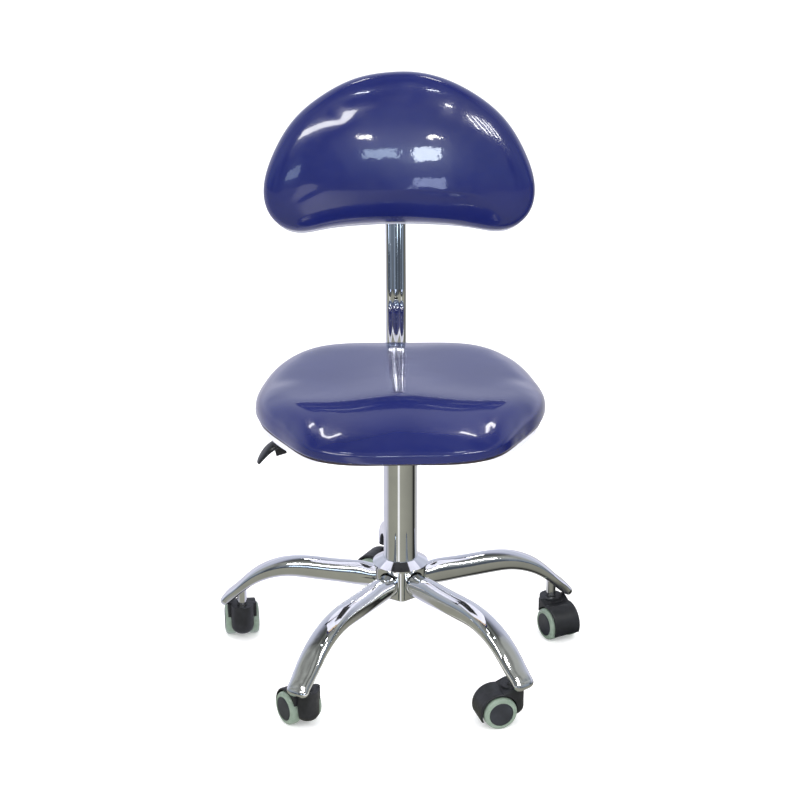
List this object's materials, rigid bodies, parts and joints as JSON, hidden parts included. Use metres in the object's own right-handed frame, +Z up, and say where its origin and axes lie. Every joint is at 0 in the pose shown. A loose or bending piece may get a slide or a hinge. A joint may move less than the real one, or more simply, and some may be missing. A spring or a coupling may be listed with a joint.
{
  "type": "dentist stool",
  "caption": "Rolling stool with a glossy navy saddle seat, a kidney-shaped backrest on a bent chrome strap, a gas-lift column with a lever, and a chromed star base on swivelling casters.",
  "frame": {"origin": "on the column's axis at the floor the casters stand on", "axes": "+Z up along the column, -Y the way the sitter faces, +X towards the sitter's left hand"},
  "size_m": [0.5555, 0.5928, 0.8409],
  "materials": {
    "chrome": "polished chrome plating",
    "steel": "bright zinc-plated steel",
    "cylinder_black": "satin black lacquer",
    "black_steel": "black powder coat",
    "black_plastic": "matte black nylon",
    "hood_plastic": "fine-textured black nylon",
    "hub_cap": "satin charcoal plastic",
    "knob_plastic": "matte black plastic",
    "gloss_black": "glossy black plastic",
    "tyre_grey": "grey-green polyurethane",
    "plywood": "raw birch plywood",
    "upholstery": "wet-look navy vinyl",
    "shell_plastic": "pale lavender-white moulded plastic"
  },
  "bodies": {
    "base": {"base_hub": "chrome", "hub_collar": "chrome", "leg_right": "chrome", "leg_back": "chrome", "leg_left": "chrome", "leg_front_left": "chrome", "leg_front_right": "chrome", "caster_sockets": "chrome", "caster_stems": "steel", "grip_rings": "steel", "column_tube": "chrome", "column_bushing": "black_plastic", "thrust_bearing": "steel"},
    "rod": {"piston_rod": "steel", "retaining_clip": "steel"},
    "seat": {"gas_cylinder": "cylinder_black", "taper_socket": "steel", "seat_plate": "black_steel", "plate_bolts": "steel", "lever_pin": "steel", "seat_board": "plywood", "seat_cushion": "upholstery", "seat_shell": "shell_plastic", "strap_sleeve": "black_steel"},
    "lever": {"lever_arm": "black_steel", "lever_paddle": "gloss_black"},
    "valve": {"valve_button": "steel"},
    "strap": {"back_strap": "chrome"},
    "depth_knob": {"depth_knob": "knob_plastic"},
    "back": {"back_bracket": "black_steel", "back_board": "plywood", "back_cushion": "upholstery", "back_shell": "shell_plastic", "bracket_screws": "steel"},
    "height_knob": {"height_knob": "knob_plastic"},
    "caster_right": {"caster_right_hood": "hood_plastic"},
    "wheel_right_inner": {"caster_right_inner_core": "hub_cap", "caster_right_inner_tyre": "tyre_grey"},
    "wheel_right_outer": {"caster_right_outer_core": "hub_cap", "caster_right_outer_tyre": "tyre_grey"},
    "caster_back": {"caster_back_hood": "hood_plastic"},
    "wheel_back_inner": {"caster_back_inner_core": "hub_cap", "caster_back_inner_tyre": "tyre_grey"},
    "wheel_back_outer": {"caster_back_outer_core": "hub_cap", "caster_back_outer_tyre": "tyre_grey"},
    "caster_left": {"caster_left_hood": "hood_plastic"},
    "wheel_left_inner": {"caster_left_inner_core": "hub_cap", "caster_left_inner_tyre": "tyre_grey"},
    "wheel_left_outer": {"caster_left_outer_core": "hub_cap", "caster_left_outer_tyre": "tyre_grey"},
    "caster_front_left": {"caster_front_left_hood": "hood_plastic"},
    "wheel_front_left_inner": {"caster_front_left_inner_core": "hub_cap", "caster_front_left_inner_tyre": "tyre_grey"},
    "wheel_front_left_outer": {"caster_front_left_outer_core": "hub_cap", "caster_front_left_outer_tyre": "tyre_grey"},
    "caster_front_right": {"caster_front_right_hood": "hood_plastic"},
    "wheel_front_right_inner": {"caster_front_right_inner_core": "hub_cap", "caster_front_right_inner_tyre": "tyre_grey"},
    "wheel_front_right_outer": {"caster_front_right_outer_core": "hub_cap", "caster_front_right_outer_tyre": "tyre_grey"}
  },
  "joints": [
    {"name": "seat_swivel", "type": "hinge", "parent": "base", "child": "rod", "pos_m": [0, 0, 0.12], "axis": [0, 0, 1], "continuous": true},
    {"name": "seat_lift", "type": "slide", "parent": "rod", "child": "seat", "axis": [0, 0, 1], "range_m": [0, 0.13]},
    {"name": "lever_pull", "type": "hinge", "parent": "seat", "child": "lever", "pos_m": [-0.03348, -0.0059, 0.38], "axis": [-0.1736, 0.9848, 0], "range_deg": [0, 3.5], "stiffness_Nm_per_rad": 4, "springref_deg": -1.72},
    {"name": "valve_push", "type": "slide", "parent": "seat", "child": "valve", "axis": [0, 0, -1], "range_m": [0, 0.0022]},
    {"name": "strap_depth", "type": "slide", "parent": "seat", "child": "strap", "axis": [0, 1, 0], "range_m": [-0.012, 0.02]},
    {"name": "depth_knob_turn", "type": "hinge", "parent": "seat", "child": "depth_knob", "pos_m": [0, 0.09, 0.35], "axis": [0, 0, -1], "range_deg": [0, 720]},
    {"name": "back_height", "type": "slide", "parent": "strap", "child": "back", "axis": [0, 0.225, 0.9744], "range_m": [-0.04, 0.04]},
    {"name": "height_knob_turn", "type": "hinge", "parent": "back", "child": "height_knob", "pos_m": [0, 0.32365, 0.69894], "axis": [0, 0.9744, -0.225], "range_deg": [0, 720]},
    {"name": "caster_right_swivel", "type": "hinge", "parent": "base", "child": "caster_right", "pos_m": [0.23635, 0.08743, 0.05], "axis": [0, 0, 1], "continuous": true},
    {"name": "wheel_right_inner_roll", "type": "hinge", "parent": "caster_right", "child": "wheel_right_inner", "pos_m": [0.26227, 0.07354, 0.025], "axis": [0.8949, 0.4462, 0], "continuous": true},
    {"name": "wheel_right_outer_roll", "type": "hinge", "parent": "caster_right", "child": "wheel_right_outer", "pos_m": [0.23184, 0.05836, 0.025], "axis": [0.8949, 0.4462, 0], "continuous": true},
    {"name": "caster_back_swivel", "type": "hinge", "parent": "base", "child": "caster_back", "pos_m": [-0.01011, 0.2518, 0.05], "axis": [0, 0, 1], "continuous": true},
    {"name": "wheel_back_inner_roll", "type": "hinge", "parent": "caster_back", "child": "wheel_back_inner", "pos_m": [-0.0394, 0.24907, 0.025], "axis": [-0.5, -0.866, 0], "continuous": true},
    {"name": "wheel_back_outer_roll", "type": "hinge", "parent": "caster_back", "child": "wheel_back_outer", "pos_m": [-0.0224, 0.27852, 0.025], "axis": [-0.5, -0.866, 0], "continuous": true},
    {"name": "caster_left_swivel", "type": "hinge", "parent": "base", "child": "caster_left", "pos_m": [-0.2426, 0.06819, 0.05], "axis": [0, 0, 1], "continuous": true},
    {"name": "wheel_left_inner_roll", "type": "hinge", "parent": "caster_left", "child": "wheel_left_inner", "pos_m": [-0.26162, 0.09062, 0.025], "axis": [-0.9962, -0.0872, 0], "continuous": true},
    {"name": "wheel_left_outer_roll", "type": "hinge", "parent": "caster_left", "child": "wheel_left_outer", "pos_m": [-0.22776, 0.09358, 0.025], "axis": [-0.9962, -0.0872, 0], "continuous": true},
    {"name": "caster_front_left_swivel", "type": "hinge", "parent": "base", "child": "caster_front_left", "pos_m": [-0.13982, -0.20965, 0.05], "axis": [0, 0, 1], "continuous": true},
    {"name": "wheel_front_left_inner_roll", "type": "hinge", "parent": "caster_front_left", "child": "wheel_front_left_inner", "pos_m": [-0.16696, -0.19831, 0.025], "axis": [-0.848, -0.5299, 0], "continuous": true},
    {"name": "wheel_front_left_outer_roll", "type": "hinge", "parent": "caster_front_left", "child": "wheel_front_left_outer", "pos_m": [-0.13812, -0.18029, 0.025], "axis": [-0.848, -0.5299, 0], "continuous": true},
    {"name": "caster_front_right_swivel", "type": "hinge", "parent": "base", "child": "caster_front_right", "pos_m": [0.15618, -0.19776, 0.05], "axis": [0, 0, 1], "continuous": true},
    {"name": "wheel_front_right_inner_roll", "type": "hinge", "parent": "caster_front_right", "child": "wheel_front_right_inner", "pos_m": [0.1374, -0.2204, 0.025], "axis": [0.2588, -0.9659, 0], "continuous": true},
    {"name": "wheel_front_right_outer_roll", "type": "hinge", "parent": "caster_front_right", "child": "wheel_front_right_outer", "pos_m": [0.1286, -0.18755, 0.025], "axis": [0.2588, -0.9659, 0], "continuous": true}
  ],
  "couplings": [
    {"joint": "valve_push", "follows": "lever_pull", "m_per_rad": 0.034}
  ]
}
